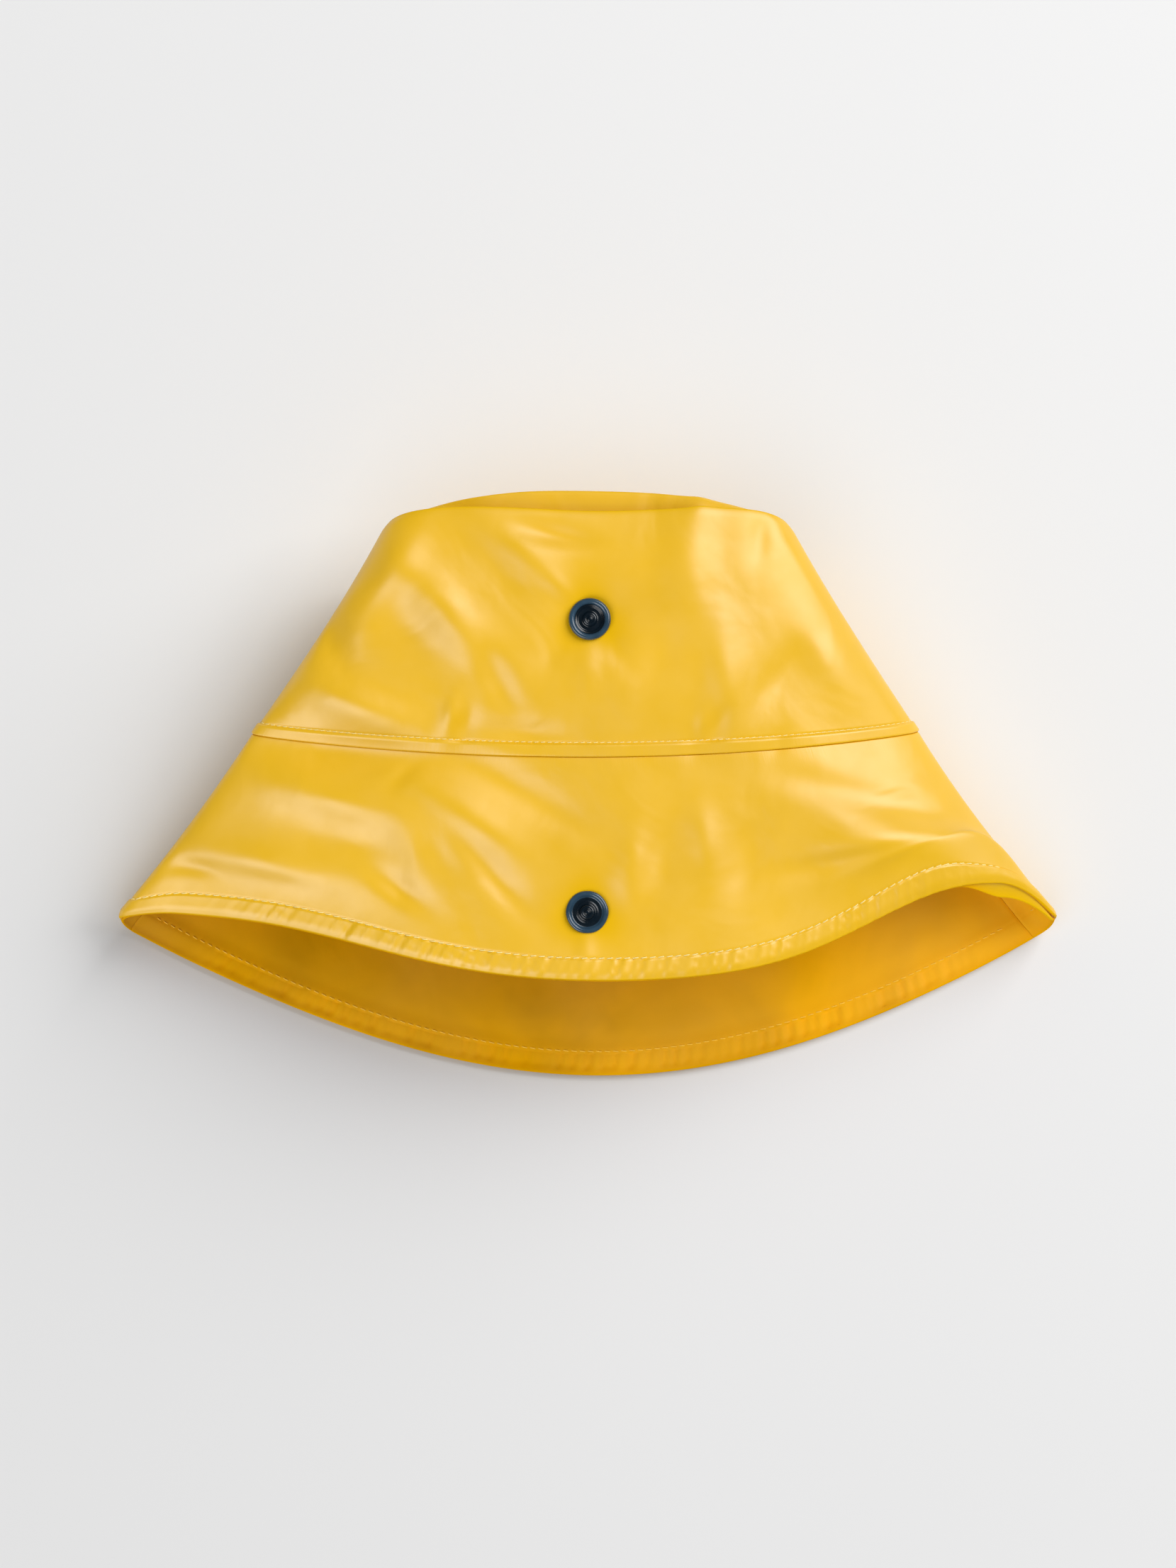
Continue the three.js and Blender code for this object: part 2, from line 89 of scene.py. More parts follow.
# Folds and dents of the front, in millimetres: the middle, the turn of the length from +X, half the length
# and the width, the rise (below 0 a dent) and, where there is one, the pull towards the tip
FOLDS = {
    "hem lift, right": (134, -46, 14, 49, 22, 3, 23),
    "hem lift, left": (-112, -54, -10, 60, 20, -3, 10),
    "tip edge sag": (4, 98, 0, 36, 14, -1, -2.8),
    "tip edge pucker": (39, 97, 80, 9, 5, 0.6, 0.6),
    "brim shoulder, right": (106, -24, -40, 42, 22, 9),
    "crown snap dimple": (0, 58, 0, 16, 14, -3),
    "crown snap lobe, low left": (-12, 46, 48, 8, 4, -0.6),
    "crown snap lobe, low right": (11, 46, -52, 8, 4, -0.6),
    "crown snap ridge, below": (0, 42, 90, 11, 4, 0.7),
    "crown snap ridge, top left": (-10, 69, -45, 8, 3, 0.5),
    "brim snap dimple": (0, -45, 0, 18, 14, -2.5),
    "brim snap ridge, below": (-1, -57, 88, 8, 3, 0.7),
    "crown ridge, left": (-48, 58, -48, 26, 8, 3.2),
    "crown hollow, left": (-66, 56, -44, 20, 10, -1.8),
    "crown ridge, upper left": (-70, 72, 60, 20, 7, 2.6),
    "crown hollow, far left": (-90, 52, -66, 12, 6, -2.2),
    "crown ridge, low left": (-80, 27, -22, 24, 7, 3.4),
    "crown valley, upper left": (-33, 76, -40, 20, 8, -1.4),
    "crown ridge to the snap": (-22, 80, -46, 18, 7, 1.2),
    "crown valley at the tip": (-12, 88, -12, 14, 4.5, -1.8),
    "crown crease, low left": (-32, 38, -62, 14, 5, -1.8),
    "crown hollow over the band": (-24, 18, -3, 18, 4.5, -1.5),
    "crown pucker at the band": (-48, 24, 76, 8, 3.2, 1.2),
    "crown pucker beside it": (-42, 21, 70, 7, 3, -0.8),
    "crown ridge, upper right": (35, 78, 88, 28, 9, 2.2),
    "crown valley, upper right": (60, 86, 84, 9, 4, -1.1),
    "crown hollow, middle right": (26, 44, 64, 16, 7, -1.3),
    "crown ridge, low right": (48, 38, 98, 20, 7, 2.2),
    "crown hollow, low right": (69, 38, 52, 15, 7, -1.6),
    "crown fall to the right": (80, 60, 98, 50, 28, -2.2),
    "crown ridge, far right": (84, 44, -56, 18, 7, 1.6),
    "crown wrinkle at the band": (46, 21, 62, 8, 3, -0.9),
    "crown wrinkle beside it": (40, 22, 80, 7, 3, 0.7),
    "band dip, middle": (38, 14, 70, 7, 4, -0.9),
    "band dip, right": (66, 14, 70, 6, 3.6, -0.8),
    "brim valley under the seam": (-86, 11.5, -6, 34, 7, -3),
    "brim pucker under the seam": (-65, 3, 40, 6, 3, -0.7),
    "brim valley to the middle": (-24, -2, -30, 28, 7, -2.2),
    "brim ridge, left": (-42, -12, -34, 26, 7, 2.4),
    "brim ridge, far left": (-86, -6, -14, 26, 6.5, 2.3),
    "brim ridge, turning down": (-61, -23, -62, 14, 6.5, 1.8),
    "brim hollow, far left": (-86, -20, -12, 26, 8, -1.6),
    "brim wedge ridge": (-45, -24, -46, 15, 5, 1.5),
    "brim wedge valley": (-33, -33, -46, 17, 5.5, -2.2),
    "brim hollow at the hem, left": (-66, -38, -38, 13, 5, -1.8),
    "brim swell, low left": (-116, -31, -14, 22, 7, 1.6),
    "brim hollow, low left": (-144, -31, -24, 13, 5, -1.8),
    "brim ridge, middle": (15, -28, 84, 14, 5.5, 1.4),
    "brim valley, middle": (27, -24, 78, 15, 6, -1.3),
    "brim ridge, mid right": (41, -20, 98, 11, 5, 1.4),
    "brim valley, mid right": (56, -26, 78, 13, 6, -1.2),
    "brim crest over the hem, right": (108, -24, 4, 32, 9, 2),
    "brim valley by the hem, right": (90, -29, 6, 24, 5.5, -1.8),
    "brim valley, right": (100, -6, -16, 32, 6, -2.2),
    "hem roll, right": (144, -43, 6, 18, 6.5, -0.5, -6),
}

# The tip panel: how deep it folds in behind the front seam, how far it then stands out, and how it hangs
TIP_TUCK = 9
TIP_BULGE = 10
TIP_ROLL = 1.5
TIP_HANG = Sizes(drop=0.03, over=0.03, power=2.6)
TIP_END = 2  # turns left out at its two corners, in degrees
TIP_GAP = 0.5  # between the tip and the inside of the crown's end
TIP_GRID = Sizes(columns=170, rows=60, fine_to=0.3, coarse_from=0.31)
TUCK = Sizes(start=0.05, end=0.27, left=-64, left_full=-40, right_full=26, right=43)
TUCK_SHADE = 0.9  # how much painted shade, darker and without reflection, the tip gets by the front seam
BULGE = Sizes(start=0.18, full=0.40, last_full=0.55, width=67)
ROLL = Sizes(start=0.25, end=0.55)

# Cloth of the visible panels, in millimetres
CLOTH = 1.1
EDGE_ROUND = CLOTH / 2
LENGTHS = {CROWN: 89, BRIM: 82}  # down the cloth, from a panel's first line to its last
SOLID_CLOTH = 1.2  # the wall of the solids, which the tip's place follows
ROUND_TURNS = (25, 50, 75)  # rows that round off an end of the cloth, in degrees
SEAM_SPLIT = 0.03  # half the gap at a side seam, in degrees of turn
SEAM_NIP = Sizes(depth=0.45, width=0.6, mm_per_degree=0.9, inside=0.6)
NEAR_SEAM = (0, 0.25, 0.6, 1.1, 1.8)  # closer columns of points by the side seams
LIFT = 0.05  # the cloth's lowest points lie this far above the table

# The crown's turned-in end, the band over the brim seam and the brim's start hidden under it, in millimetres
TURNED_IN = Sizes(depth=0.5, fall=1.6)
BAND = Sizes(width=5.0, rise=0.7, step=1.3, groove=0.16, groove_width=0.5)
TUCKED_START = Sizes(depth=1.45, raised=0.6, from_seam=-0.5, fall=1.1)
RIB_REACH = 5  # how far from the band its thread ribs show in the cloth

# The folded hem, in millimetres from its edge: its stitches and its thickness, then how its edge curls in
HEM = Sizes(
    width=13, over=7, stitch=8.3, swell=0.4, swell_over=1.2, groove=0.14, groove_width=0.6, ply=1.15,
    curl=1.2, curl_from=3.4, fold=0.6, lip=0.5, notch=1.6, lip_gap=0.03)
FOLD_TURNS = (20, 45, 70, 90, 112, 135, 158)  # rows round the hem's lower edge, in degrees
# The inner ply that slips out at the right corner: how far, its turns in degrees, and where its face starts
INNER_PLY = Sizes(out=1.0, corner=3.4, first=6, full=12, last_full=30, last=39, face=9.5, face_over=2)
# Gathers across the hem: their spacing, depth and width, their lean, and how far from its ends they grow
FRONT_PUCKERS = dict(
    seed=5, apart=(1.8, 5.2), depth=(0.3, 1.05), wide=(0.6, 1.15), slant=0.35, calm=34, over=66)
BACK_PUCKERS = dict(
    seed=8, apart=(3.2, 6.6), depth=(0.6, 1.7), wide=(1.0, 1.8), slant=-0.25, calm=12, over=36)
# Where gathers fade in above the stitches and ease off at the edge, and their most depth on the inner side
GATHERS = Sizes(above=0.4, fade=1.5, edge=3, eased=0.4, most=1.35, lying_from=0.8, lying_over=3.2)

# Painted shade, darker and without reflection: the star round a snap, the crown's raw edge and the hem's
# lower edge, in millimetres
SNAP_SHADE = Sizes(reach=13.5, star=0.16, rays=3, start=1.57)
CROWN_EDGE_SHADE = 0.8
HEM_EDGE_SHADE = Sizes(start=0.9, over=0.8)

# Stitches: pitch, length and thickness of the thread's visible bridges, their slant in degrees, and how far
# they lie below the face that they are on; then how deep, in threads, their ends dive, and how they thin
HEM_THREAD = Sizes(pitch=3.0, length=2.5, thick=0.46, slant=8, outside=-0.02, inside=-0.04)
BAND_THREAD = Sizes(pitch=2.3, length=1.75, thick=0.34, slant=6, outside=0)
DIVE = Sizes(depth=1.3, thinner=0.5)
BARE_CORNER = (8, 27)  # turns where the hem's crease hides the thread

# Snap places on the front, the ripple of the stud's rim, and where painted shade darkens the recess inside a
# disc
CROWN_SNAP = Sizes(x=0.6, share=0.455)
BRIM_SNAP = Sizes(x=-0.3, share=0.69)
RIPPLE = Sizes(height=0.006, start=0.7, over=0.3)
RECESS_SHADE = Sizes(radius=5.35, edge=0.3)

# Distances down the cloth of the rows of points, in millimetres, as stretches from, to and how many
CROWN_STEPS = (EDGE_ROUND, 82.6, 82), (82.85, 84.9, 14), (85.2, 88.6, 9)
BRIM_STEPS = (-1.1, 1.0, 12), (1.8, 71.2, 63), (71.5, 75.0, 19), (75.5, 81.4, 9)

# Profiles of the snap discs, as radius and height above the cloth in millimetres, from the middle outwards
SOCKET_PROFILE = (
    (0.15, 2.35), (0.55, 2.35), (0.75, 2.2), (0.8, 1.75), (1.25, 1.7), (1.4, 1.95), (1.9, 2.0), (2.25, 1.85),
    (2.5, 1.5), (2.6, 1.0), (3.3, 0.9), (4.2, 0.9), (4.4, 1.3), (4.95, 1.4), (5.15, 1.6), (5.35, 2.4),
    (5.8, 2.75), (6.4, 2.85), (6.9, 2.7), (7.25, 2.2), (7.4, 1.5), (7.35, 0.8), (7.0, 0.2), (5.0, 0.1),
    (0.15, 0.1))
STUD_PROFILE = (
    (0.15, 2.9), (0.6, 2.9), (0.8, 2.7), (0.85, 2.3), (1.2, 2.25), (1.35, 2.55), (2.0, 2.6), (2.35, 2.4),
    (2.6, 1.9), (2.75, 1.1), (3.2, 0.95), (3.4, 1.1), (3.7, 1.1), (3.9, 0.9), (5.4, 0.9), (5.65, 1.35),
    (6.2, 1.8), (6.8, 1.85), (7.25, 1.6), (7.5, 1.1), (7.4, 0.5), (7.0, 0.15), (5.0, 0.1), (0.15, 0.1))
CAP_PROFILE = (
    (0.15, -1.3), (5.6, -1.3), (6.3, -1.4), (6.6, -1.9), (6.5, -2.5), (5.9, -3.0), (4.8, -3.25), (4.5, -3.1),
    (2.2, -3.1), (2.0, -3.3), (0.15, -3.3))

# Lamps: whether they light all but the floor or the floor alone, compass direction from +X towards +Y and
# rise above the table in degrees, distance and sides in metres
LAMPS = {
    "key": dict(link="EXCLUDE", turn=34, rise=43, distance=4, width=3.1, height=3.2),
    "fill": dict(link="EXCLUDE", turn=228, rise=41, distance=4, width=2.8, height=2.8),
    "floor_key": dict(link="INCLUDE", turn=38, rise=31, distance=4, width=3.2, height=3.2),
    "floor_fill": dict(link="INCLUDE", turn=230, rise=70, distance=4, width=4, height=4),
}

# The picture: its rows, and the length of table in millimetres that one takes in
PICTURE_ROWS = 2212
TABLE_PER_ROW = 0.256


def smooth(value):
    """Rises from 0 to 1 as the value goes from 0 to 1, level at both ends: 3t squared less 2t cubed."""
    t = np.clip(value, 0, 1)
    return t * t * (3 - 2 * t)


def ramp(value, start, full):
    """0 at the start, 1 where it is full, and smooth between them."""
    return smooth((value - start) / (full - start))


def bend(t, k):
    """Bends a straight rise: t times (1 plus k times (1 less t squared))."""
    return t * (1 + k * (1 - t * t))


def unit(vectors):
    """The vectors scaled to length 1."""
    return vectors / np.linalg.norm(vectors, axis=-1, keepdims=True)


def hump(t, start, end):
    """A sine-squared hump between two shares, and 0 outside them."""
    inside = (t > start) & (t < end)
    return np.where(inside, np.sin(math.pi * (t - start) / (end - start)) ** 2, 0)


def line_points(line, turn):
    """Points of one line round the hat: the sides follow the cosine of the turn, the front and back its sine,
    each bent by its own factor, and the back falls to the table as a power of what is left of its turn."""
    c, s = np.cos(turn), np.sin(turn)
    across = (1 + bend(c, line.box_x)) / 2
    left, right = np.array(line.left, float), np.array(line.right, float)
    x, side_y, side_z = (left[i] + (right[i] - left[i]) * across for i in range(3))
    front, back = np.maximum(s, 0), np.maximum(-s, 0)
    y = np.where(s >= 0,
                 side_y + (line.front_y - side_y) * bend(front, line.plan),
                 side_y + (line.back_y - side_y) * bend(back, line.plan_back))
    z = np.where(s >= 0,
                 side_z + (line.crest_z - side_z) * bend(front, line.arch),
                 side_z * np.maximum(0, 1 - back / line.rest) ** FALL)
    return np.stack([x + line.back_x * back * back, y, z], -1)


def outer_points(lines, turn, share):
    """The outer face of the cloth, in millimetres: the parabola through three lines, then every fold as a
    soft ridge, exp(-along squared - aside squared), that fades out near the side folds."""
    first, middle, last = (line_points(LINES[name], turn) for name in lines)
    u = np.asarray(share)[..., None]
    p = first * (1 - u) * (1 - 2 * u) + 4 * middle * u * (1 - u) + last * u * (2 * u - 1)
    x, y = p[..., 0].copy(), p[..., 1].copy()
    front = smooth(2 * np.sin(turn))
    for fold_x, fold_y, fold_turn, long, wide, rise, *pull in FOLDS.values():
        dx, dy, angle = x - fold_x, y - fold_y, math.radians(fold_turn)
        along = (dx * math.cos(angle) + dy * math.sin(angle)) / long
        aside = (dy * math.cos(angle) - dx * math.sin(angle)) / wide
        amount = front * np.exp(-along * along - aside * aside)
        p[..., 1] += sum(pull) * amount
        p[..., 2] += rise * amount
    p[..., 2] = np.maximum(p[..., 2], 0)
    return p


def outward(lines, turn, share):
    """Unit normals of the outer face, from small steps round the hat and down it."""
    around = outer_points(lines, turn + STEP, share) - outer_points(lines, turn - STEP, share)
    down = outer_points(lines, turn, share + STEP) - outer_points(lines, turn, share - STEP)
    return unit(np.cross(around, down))


def layer_points(lines, turn, share, depth):
    """Points below the outer face by a depth, along its normal."""
    return outer_points(lines, turn, share) - outward(lines, turn, share) * np.asarray(depth)[..., None]


def even_turns(lines, share, edges, pitch):
    """Turns and running lengths of points a pitch apart along a line, with closer ones by the side seams: the
    length is summed over a fine grid and read backwards."""
    fine = np.radians(np.linspace(*edges, 2001))
    path = outer_points(lines, fine, np.full(fine.shape, float(share)))
    run = np.concatenate([[0], np.cumsum(np.linalg.norm(np.diff(path, axis=0), axis=1))])
    near = np.array(NEAR_SEAM)
    start, end = near[-1] + pitch, run[-1] - near[-1] - pitch
    between = np.linspace(start, end, round((end - start) / pitch) + 1)
    wanted = np.concatenate([near, between, run[-1] - near[::-1]])
    return np.interp(wanted, run, fine), wanted


def off_table(turn):
    """1 where a panel hangs free, falling to 0 where its back is pressed on the table, by the turn's sine."""
    return smooth((np.sin(turn) - OFF_TABLE.start) / OFF_TABLE.over)


def seam_nip(turn, edges):
    """How deep the side seams pull the cloth in: a bell on the distance to each seam."""
    first, last = (
        (np.degrees(turn) - edge) * SEAM_NIP.mm_per_degree / SEAM_NIP.width for edge in edges)
    return SEAM_NIP.depth * (np.exp(-first ** 2) + np.exp(-last ** 2))


def spaced(steps, turn):
    """Distances down the cloth, one row for each, as wide as the turns."""
    return np.concatenate([np.linspace(*step) for step in steps])[:, None] + 0 * turn


def rounded_end(distance, outer, inner, way):
    """Three rows that round off an end of the cloth: a quarter turn of an ellipse for each side, as high as
    half the cloth and reaching out by EDGE_ROUND."""
    a = np.radians(ROUND_TURNS)[:, None]
    middle, half = (outer + inner) / 2, (inner - outer) / 2
    return distance + way * EDGE_ROUND * np.sin(a), middle - half * np.cos(a), middle + half * np.cos(a)


def crown_rows(turn, run, edges):
    """Distances and depths of the crown's rows from the tip seam down, for its outer and its inner side: the
    turned-in end, then the band over the brim seam with a bell-shaped groove for its stitches."""
    length = LENGTHS[CROWN]
    distance = spaced(CROWN_STEPS, turn)
    clear, nip = off_table(turn), seam_nip(turn, edges)
    from_edge = length - distance
    band = clear * BAND.rise * smooth((BAND.width - from_edge) / BAND.step)
    groove = BAND.groove * np.exp(-((from_edge - BAND.width) / BAND.groove_width) ** 2)
    turned_in = TURNED_IN.depth * np.exp(-(distance / TURNED_IN.fall) ** 2)
    outer = turned_in - band + groove + nip
    inner = turned_in - band + CLOTH - SEAM_NIP.inside * nip
    start, start_outer, start_inner = rounded_end(distance[0], outer[0], inner[0], -1)
    end, end_outer, end_inner = rounded_end(distance[-1], outer[-1], inner[-1], 1)
    rows = np.vstack([start[::-1], distance, end])
    return ((rows, np.vstack([start_outer[::-1], outer, end_outer])),
            (rows, np.vstack([start_inner[::-1], inner, end_inner])))


def puckers(run, from_edge, seed, apart, depth, wide, slant, calm, over):
    """Small gathers across the folded hem: bells on the running length at uneven spacing, each with its own
    depth and width, leaning over, lower towards the side seams, and easing off at the edge."""
    some = np.random.default_rng(seed)
    middle = np.cumsum(some.uniform(*apart, int(run[-1] / np.mean(apart)) + 8))
    depths, wides = some.uniform(*depth, len(middle)), some.uniform(*wide, len(middle))
    depths *= smooth((np.minimum(middle, run[-1] - middle) - calm) / over)
    leaning = (run + slant * from_edge)[..., None]
    bells = np.sum(depths * np.exp(-((leaning - middle) / wides) ** 2), axis=-1)
    fade = smooth((HEM.stitch + GATHERS.above - from_edge) / GATHERS.fade)
    ease = 1 - GATHERS.eased * smooth((GATHERS.edge - from_edge) / GATHERS.edge)
    return bells * (fade * ease)


def corner_share(turn):
    """1 where the hem's inner ply slips out at the right corner, falling to 0 on both sides of it."""
    degrees = np.degrees(turn)
    return ramp(degrees, INNER_PLY.first, INNER_PLY.full) * ramp(
        degrees, INNER_PLY.last, INNER_PLY.last_full)


def hem_ply(from_edge):
    """How much thicker the folded hem is than one ply, growing slowly towards the edge."""
    return HEM.ply * smooth((HEM.width - from_edge) / HEM.over)


def brim_rows(turn, run, edges):
    """Distances and depths of the brim's rows from the seam down, for its outer and its inner side: a start
    under the band, a flat panel, a groove for the hem's stitches and gathers below it, then a round fold on
    the outer side and the inner ply's own round edge beside it."""
    length = LENGTHS[BRIM]
    distance = spaced(BRIM_STEPS, turn)
    clear, nip = off_table(turn), seam_nip(turn, edges)
    from_edge = length - distance
    start_drop = (TUCKED_START.depth - TUCKED_START.raised * clear) * (
        1 - smooth((distance - TUCKED_START.from_seam) / TUCKED_START.fall))
    groove = HEM.groove * np.exp(-((from_edge - HEM.stitch) / HEM.groove_width) ** 2)
    swell = HEM.swell * smooth((HEM.stitch - from_edge) / HEM.swell_over)
    gathers = puckers(run, from_edge, **(FRONT_PUCKERS if edges == FRONT else BACK_PUCKERS))
    curl = HEM.curl * np.maximum(1 - from_edge / HEM.curl_from, 0) ** 2
    outer = start_drop + groove + clear * (gathers - swell) + curl + nip
    eased = clear + (1 - clear) * smooth((from_edge - GATHERS.lying_from) / GATHERS.lying_over)
    dents = np.minimum(gathers, GATHERS.most) * (2 * clear - 1) * eased
    inner = start_drop + CLOTH + hem_ply(from_edge) - 0.5 * groove + curl + dents - SEAM_NIP.inside * nip
    out = INNER_PLY.out + INNER_PLY.corner * corner_share(turn)
    fold, lip = HEM.fold, HEM.lip
    inner_distance = distance + (out - lip) * smooth((HEM.width - from_edge) / HEM.width)

    start, start_outer, start_inner = rounded_end(distance[0], outer[0], inner[0], -1)
    a = np.radians(FOLD_TURNS)[:, None]
    notch = length - HEM.notch + 0 * turn[None]
    fold_distance = distance[-1] + fold * np.sin(a)
    fold_depth = outer[-1] + fold * (1 - np.cos(a))
    lip_distance = inner_distance[-1] + lip * np.sin(a)
    lip_depth = inner[-1] - lip * (1 - np.cos(a))
    return ((np.vstack([start[::-1], distance, fold_distance, notch]),
             np.vstack([start_outer[::-1], outer, fold_depth, outer[-1:] + 2 * fold])),
            (np.vstack([start[::-1], inner_distance, lip_distance, notch]),
             np.vstack([start_inner[::-1], inner, lip_depth, inner[-1:] - 2 * lip + HEM.lip_gap])))


def grid_quads(index):
    """Quads between neighbouring rows and columns of one or more grids of point numbers. They face along the
    cross product of the way along the columns and the way down the rows."""
    corners = index[..., :-1, :-1], index[..., :-1, 1:], index[..., 1:, 1:], index[..., 1:, :-1]
    return np.stack([corner.ravel() for corner in corners], -1)


def new_piece(name, points, faces, material, nodes=(), uv=None, marks=None):
    """Puts arrays into a mesh object: points in millimetres, faces as a list of arrays with one face a row,
    uv with one pair a point, and marks as named values with one number a point."""
    mesh = bpy.data.meshes.new(name)
    mesh.vertices.add(len(points))
    mesh.vertices.foreach_set("co", (points * MM).astype(np.float32).ravel())
    corners = np.concatenate([part.ravel() for part in faces])
    sizes = np.concatenate([np.full(len(part), part.shape[1]) for part in faces])
    mesh.loops.add(len(corners))
    mesh.loops.foreach_set("vertex_index", corners.astype(np.int32))
    mesh.polygons.add(len(sizes))
    mesh.polygons.foreach_set("loop_start", (np.cumsum(sizes) - sizes).astype(np.int32))
    mesh.polygons.foreach_set("use_smooth", np.ones(len(sizes), bool))
    if uv is not None:
        mesh.uv_layers.new(name="cloth").data.foreach_set("uv", uv[corners].astype(np.float32).ravel())
    for mark, values in (marks or {}).items():
        attribute = mesh.attributes.new(mark, "FLOAT", "POINT")
        attribute.data.foreach_set("value", values.astype(np.float32).ravel())
    mesh.update(calc_edges=True)
    mesh.materials.append(material)
    piece = bpy.data.objects.new(name, mesh)
    bpy.context.scene.collection.objects.link(piece)
    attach(piece, "root")
    if nodes:
        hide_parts(*nodes)
    return piece


def closed_loop(outer, inner):
    """Points, faces and inside marks of a wall whose rows run down its outer side and as many back up its
    inner side, with the two open ends closed by strips from side to side."""
    rows, columns = outer.shape[:2]
    index = np.arange(2 * rows * columns).reshape(2 * rows, columns)
    face, back = index[:rows], index[rows:][::-1]
    first = np.stack([face[:, 0], back[:, 0]], -1)
    last = np.stack([back[:, -1], face[:, -1]], -1)
    points = np.concatenate([outer, inner[::-1]]).reshape(-1, 3)
    points[:, 2] = np.maximum(points[:, 2], LIFT)
    grids = np.vstack([index, index[:1]]), first[:, ::-1], last[:, ::-1]
    return points, [grid_quads(grid) for grid in grids], np.repeat([0.0, 1.0], len(points) // 2)


def cloth_panel(node, lines, profile, edges, pitch, material):
    """A sewn panel: its profile gives rows of distance and depth for both sides, and each becomes a line of
    points at those depths below the outer face."""
    turn, run = even_turns(lines, 1, (edges[0] + SEAM_SPLIT, edges[1] - SEAM_SPLIT), pitch)
    sides = profile(turn, run, edges)
    length = LENGTHS[lines]
    outer, inner = (
        layer_points(lines, turn + 0 * distance, distance / length, depth) for distance, depth in sides)
    points, faces, inside = closed_loop(outer, inner)
    distance = np.vstack([sides[0][0], sides[1][0][::-1]])
    uv = np.stack([run + 0 * distance, distance], -1).reshape(-1, 2) * MM
    if lines is BRIM:
        face = smooth((INNER_PLY.face + distance - length) / INNER_PLY.face_over)
        inside *= 1 - (corner_share(turn) * face).ravel()
    from_seam = length - distance if lines is CROWN else distance
    ribs = np.exp(-(from_seam / RIB_REACH) ** 2)
    # Painted shade: a star round each snap, the crown's raw edge and the hem's lower edge are marked darker
    # and without reflection
    painted_shade = np.zeros(len(points))
    for snap_lines, spot in ((CROWN, CROWN_SNAP), (BRIM, BRIM_SNAP)):
        away = points - snap_place(snap_lines, spot)[0]
        angle = np.arctan2(away[:, 1], away[:, 0])
        star = 1 + SNAP_SHADE.star * np.cos(SNAP_SHADE.rays * angle + SNAP_SHADE.start)
        reach = SNAP_SHADE.reach * star
        painted_shade += np.exp(-np.sum(away ** 2, axis=1) ** 2 / reach ** 4)
    if lines is CROWN:
        painted_shade += np.exp(-(distance.ravel() / CROWN_EDGE_SHADE) ** 2)
    else:
        painted_shade += smooth((distance.ravel() - length + HEM_EDGE_SHADE.start) / HEM_EDGE_SHADE.over)
    return new_piece(node + "_panel", points, faces, material, (node,), uv,
                     dict(inside=inside, ribs=ribs, painted_shade=painted_shade))


def tip_points(turn, share):
    """The tip panel between the front and the back of the tip seam, in millimetres: hung between them by a
    power, pushed in by a sine-squared hump behind the front seam and out by a smooth swell below it."""
    depth = SOLID_CLOTH + TIP_GAP + SOLID_CLOTH * np.cos(turn) ** 8
    zero = 0 * turn
    front = layer_points(CROWN, turn, zero, depth)
    back = layer_points(CROWN, -turn, zero, depth)
    hang = share ** TIP_HANG.power
    p = front + (back - front) * hang[..., None]
    x = p[..., 0]
    tuck_wide = ramp(x, TUCK.left, TUCK.left_full) * (1 - ramp(x, TUCK.right_full, TUCK.right))
    bulge_wide = np.maximum(0, 1 - (x / BULGE.width) ** 2) * np.sqrt(np.maximum(np.sin(turn), 0))
    out = ramp(share, BULGE.start, BULGE.full) * (1 - ramp(share, BULGE.last_full, 1))
    p[..., 1] += TIP_BULGE * bulge_wide * out
    p[..., 1] -= TIP_TUCK * tuck_wide * hump(share, TUCK.start, TUCK.end)
    drop = TIP_HANG.drop * (1 - np.exp(-share / TIP_HANG.over) - hang)
    p[..., 2] += (back[..., 2] - front[..., 2]) * drop
    p[..., 2] += TIP_ROLL * tuck_wide * hump(share, ROLL.start, ROLL.end)
    return p


def tip_panel(material):
    """The tip panel as a wall: each side is the surface less a depth along its normal, from small steps
    across and round, and both long edges are rounded."""
    shares = np.concatenate([
        np.linspace(0, TIP_GRID.fine_to, TIP_GRID.rows),
        np.linspace(TIP_GRID.coarse_from, 1, TIP_GRID.rows)])
    turn, share = np.meshgrid(np.radians(np.linspace(180 - TIP_END, TIP_END, TIP_GRID.columns)), shares)
    surface = tip_points(turn, share)
    across = tip_points(turn, np.minimum(1, share + STEP)) - tip_points(turn, np.maximum(0, share - STEP))
    around = tip_points(turn + STEP, share) - tip_points(turn - STEP, share)
    normal, across = unit(np.cross(across, around)), unit(across)
    a = np.radians(ROUND_TURNS)[:, None, None]
    half = CLOTH / 2

    def end(row, way):
        middle = surface[row] - half * normal[row] + way * half * across[row] * np.sin(a)
        return middle + half * normal[row] * np.cos(a), middle - half * normal[row] * np.cos(a)

    start_outer, start_inner = end(0, -1)
    end_outer, end_inner = end(-1, 1)
    outer = np.vstack([start_outer[::-1], surface, end_outer])
    inner = np.vstack([start_inner[::-1], surface - CLOTH * normal, end_inner])
    points, faces, inside = closed_loop(outer, inner)
    rows = np.pad(shares, len(ROUND_TURNS), "edge")
    # Painted shade: the tip is marked darker and duller by the front seam, fading out down the bulge
    shown = 1 - smooth(np.concatenate([rows, rows[::-1]]) / BULGE.last_full)
    painted_shade = TUCK_SHADE * np.repeat(shown, len(turn[0]))
    return new_piece("tip_panel", points, faces, material, ("crown_tip",),
                     points[:, :2] * MM, dict(inside=inside, ribs=0 * inside, painted_shade=painted_shade))


